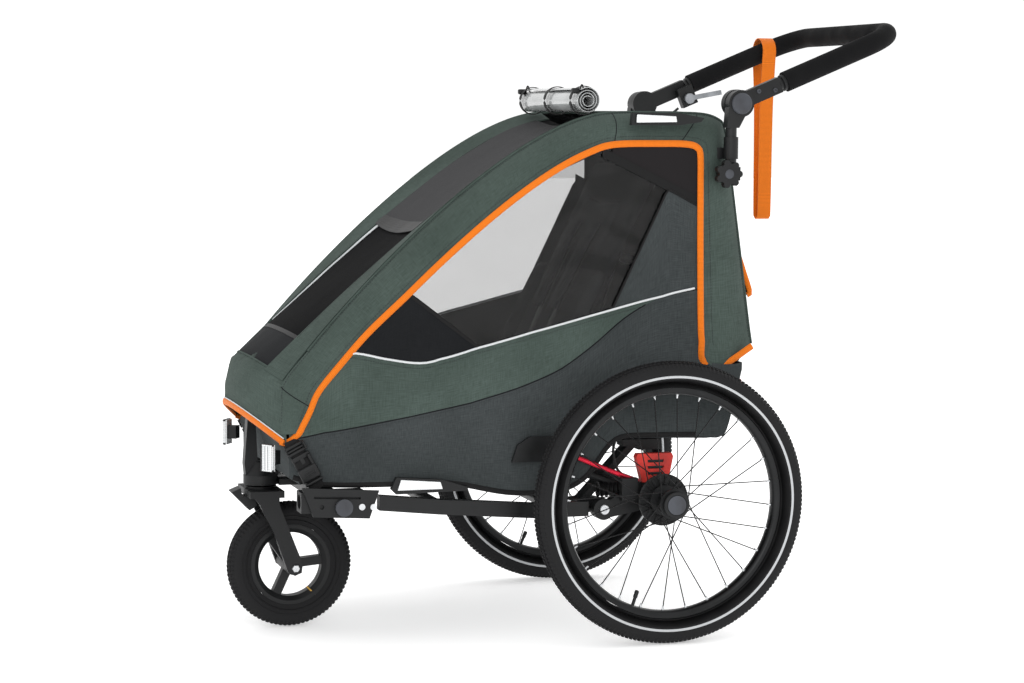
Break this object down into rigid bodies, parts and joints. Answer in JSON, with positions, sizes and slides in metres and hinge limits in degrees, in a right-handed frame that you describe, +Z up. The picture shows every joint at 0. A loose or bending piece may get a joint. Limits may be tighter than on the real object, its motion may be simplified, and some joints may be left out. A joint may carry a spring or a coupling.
{
  "type": "child bicycle trailer",
  "caption": "single-seat child bicycle trailer with fabric cabin, spoked rear wheels, swivelling jogging wheel, tilting push bar and folding hoop frame",
  "frame": {"origin": "on the ground, under the middle of the overall box at rest", "axes": "+X to the rear, +Y to the child's right side, +Z up"},
  "size_m": [1.2112, 0.728, 1.0979],
  "materials": {
    "frame_tube": "satin black powder coat",
    "black_plastic": "fine moulded grain",
    "grey_plastic": "smooth grey ABS",
    "green_melange": "woven melange polyester",
    "slate_melange": "woven dark slate melange",
    "black_fabric": "black woven polyester",
    "grey_mesh": "fine grey sun mesh",
    "window_film": "clear tinted PVC film",
    "clear_film": "rolled clear PVC rain film",
    "orange_webbing": "orange nylon webbing",
    "tyre_rubber": "moulded rubber tread",
    "rim_alloy": "black anodised rim",
    "spoke_steel": "black stainless spokes",
    "red_elastomer": "red elastomer",
    "grip_foam": "closed cell foam",
    "bolt_steel": "zinc plated",
    "lever_alloy": "cast alloy lever",
    "reflector": "clear prismatic reflector",
    "cable_black": "PVC cable sheath"
  },
  "bodies": {
    "chassis": {"side_rails": "frame_tube", "cross_tubes": "frame_tube", "uprights": "frame_tube", "nose_frame": "frame_tube", "head_housing": "black_plastic", "floor_pan": "slate_melange", "nose_skirt": "green_melange", "coupling_brackets": "frame_tube", "bracket_bolts": "bolt_steel", "base_reflector_housings": "black_plastic", "reflector_lenses": "reflector", "arch_guards": "black_plastic", "seat_base": "black_fabric", "side_panels": "slate_melange", "side_windows": "window_film", "seat_back": "black_fabric", "rear_bag": "green_melange", "spring_blocks": "red_elastomer"},
    "hoop": {"hoop_tubes": "frame_tube", "hoop_eyes": "black_plastic", "edge_bands": "green_melange", "roof_panel": "green_melange", "roof_reflectors": "black_plastic", "post_clamps": "black_plastic", "rear_flap": "orange_webbing"},
    "front_cover_body": {"front_cover": "green_melange", "window_panel": "black_fabric", "sun_cover": "grey_mesh", "rain_roll": "clear_film"},
    "rear_frame_body": {"rear_frame": "frame_tube"},
    "posts": {"handle_posts": "frame_tube"},
    "push_bar": {"joint_housings": "black_plastic", "handle_bar": "frame_tube", "foam_grip": "grip_foam", "brake_mount": "black_plastic", "brake_cable": "cable_black"},
    "lever": {"brake_lever": "lever_alloy"},
    "strap": {"wrist_strap": "orange_webbing"},
    "button_tilt_left": {"tilt_button_left": "grey_plastic"},
    "button_tilt_right": {"tilt_button_right": "grey_plastic"},
    "knob_star_left": {"star_knob_left": "black_plastic"},
    "knob_star_right": {"star_knob_right": "black_plastic"},
    "knob_coupling_left": {"coupling_knob_left": "grey_plastic"},
    "knob_coupling_right": {"coupling_knob_right": "grey_plastic"},
    "axle": {"rear_axle": "frame_tube", "brake_calipers": "black_plastic"},
    "wheel_left": {"tyre_left": "tyre_rubber", "rim_left": "rim_alloy", "spokes_left": "spoke_steel", "hub_left": "rim_alloy"},
    "wheel_right": {"tyre_right": "tyre_rubber", "rim_right": "rim_alloy", "spokes_right": "spoke_steel", "hub_right": "rim_alloy"},
    "button_hub_left": {"hub_button_left": "grey_plastic"},
    "button_hub_right": {"hub_button_right": "grey_plastic"},
    "caster": {"fork": "black_plastic"},
    "lock_lever": {"swivel_lock": "black_plastic"},
    "front_wheel": {"front_tyre": "tyre_rubber", "front_rim": "black_plastic"}
  },
  "joints": [
    {"name": "fold", "type": "hinge", "parent": "chassis", "child": "hoop", "pos_m": [-0.5352, 0, 0.385], "axis": [0, 1, 0], "range_deg": [0, 28], "deforming": ["side_panels", "side_windows", "seat_back", "rear_bag"]},
    {"name": "rear_frame_fold", "type": "hinge", "parent": "chassis", "child": "rear_frame_body", "pos_m": [0.1398, 0, 0.4], "axis": [0, -1, 0], "range_deg": [0, 90]},
    {"name": "cover_lift", "type": "hinge", "parent": "hoop", "child": "front_cover_body", "pos_m": [0.0598, 0, 0.936], "axis": [0, 1, 0], "range_deg": [0, 55]},
    {"name": "post_height", "type": "slide", "parent": "hoop", "child": "posts", "axis": [0, 0, 1], "range_m": [0, 0.06]},
    {"name": "bar_tilt", "type": "hinge", "parent": "posts", "child": "push_bar", "pos_m": [0.2698, 0, 0.948], "axis": [0, -1, 0], "range_deg": [-25, 40], "deforming": ["wrist_strap"]},
    {"name": "strap_swing", "type": "hinge", "parent": "push_bar", "child": "strap", "pos_m": [0.5218, 0.236, 1.052], "axis": [0, -1, 0], "range_deg": [-40, 25]},
    {"name": "brake_lever_pull", "type": "hinge", "parent": "push_bar", "child": "lever", "pos_m": [0.35398, 0.22, 0.95905], "axis": [0, -1, 0], "range_deg": [0, 22], "stiffness_Nm_per_rad": 0.6, "springref_deg": -11.46},
    {"name": "tilt_button_left_press", "type": "slide", "parent": "posts", "child": "button_tilt_left", "axis": [0, 1, 0], "range_m": [0, 0.003], "stiffness_N_per_m": 600, "springref_m": -0.001},
    {"name": "tilt_button_right_press", "type": "slide", "parent": "posts", "child": "button_tilt_right", "axis": [0, -1, 0], "range_m": [0, 0.003], "stiffness_N_per_m": 600, "springref_m": -0.001},
    {"name": "star_knob_left_turn", "type": "hinge", "parent": "hoop", "child": "knob_star_left", "pos_m": [0.2398, -0.28, 0.824], "axis": [0, 1, 0], "continuous": true},
    {"name": "star_knob_right_turn", "type": "hinge", "parent": "hoop", "child": "knob_star_right", "pos_m": [0.2398, 0.28, 0.824], "axis": [0, 1, 0], "continuous": true},
    {"name": "coupling_knob_left_pull", "type": "slide", "parent": "chassis", "child": "knob_coupling_left", "axis": [0, -1, 0], "range_m": [0, 0.008], "stiffness_N_per_m": 500, "springref_m": -0.002},
    {"name": "coupling_knob_right_pull", "type": "slide", "parent": "chassis", "child": "knob_coupling_right", "axis": [0, 1, 0], "range_m": [0, 0.008], "stiffness_N_per_m": 500, "springref_m": -0.002},
    {"name": "axle_swing", "type": "hinge", "parent": "chassis", "child": "axle", "pos_m": [0.0198, 0, 0.232], "axis": [0, -1, 0], "range_deg": [0, 8], "stiffness_Nm_per_rad": 80, "springref_deg": -17.19, "deforming": ["spring_blocks"]},
    {"name": "wheel_left_spin", "type": "hinge", "parent": "axle", "child": "wheel_left", "pos_m": [0.1198, -0.3275, 0.25], "axis": [0, 1, 0], "continuous": true},
    {"name": "wheel_right_spin", "type": "hinge", "parent": "axle", "child": "wheel_right", "pos_m": [0.1198, 0.3275, 0.25], "axis": [0, 1, 0], "continuous": true},
    {"name": "hub_button_left_press", "type": "slide", "parent": "wheel_left", "child": "button_hub_left", "axis": [0, 1, 0], "range_m": [0, 0.002], "stiffness_N_per_m": 500, "springref_m": -0.001},
    {"name": "hub_button_right_press", "type": "slide", "parent": "wheel_right", "child": "button_hub_right", "axis": [0, -1, 0], "range_m": [0, 0.002], "stiffness_N_per_m": 500, "springref_m": -0.001},
    {"name": "caster_swivel", "type": "hinge", "parent": "chassis", "child": "caster", "pos_m": [-0.5432, 0, 0.28], "axis": [0, 0, 1], "continuous": true},
    {"name": "lock_lever_press", "type": "hinge", "parent": "caster", "child": "lock_lever", "pos_m": [-0.5742, 0, 0.238], "axis": [0, 1, 0], "range_deg": [0, 12], "stiffness_Nm_per_rad": 0.8, "springref_deg": -5.73},
    {"name": "front_wheel_spin", "type": "hinge", "parent": "caster", "child": "front_wheel", "pos_m": [-0.4912, 0, 0.1145], "axis": [0, 1, 0], "continuous": true}
  ],
  "couplings": [
    {"joint": "rear_frame_fold", "follows": "fold", "ratio": 3.2143},
    {"joint": "strap_swing", "follows": "bar_tilt", "ratio": -1}
  ]
}
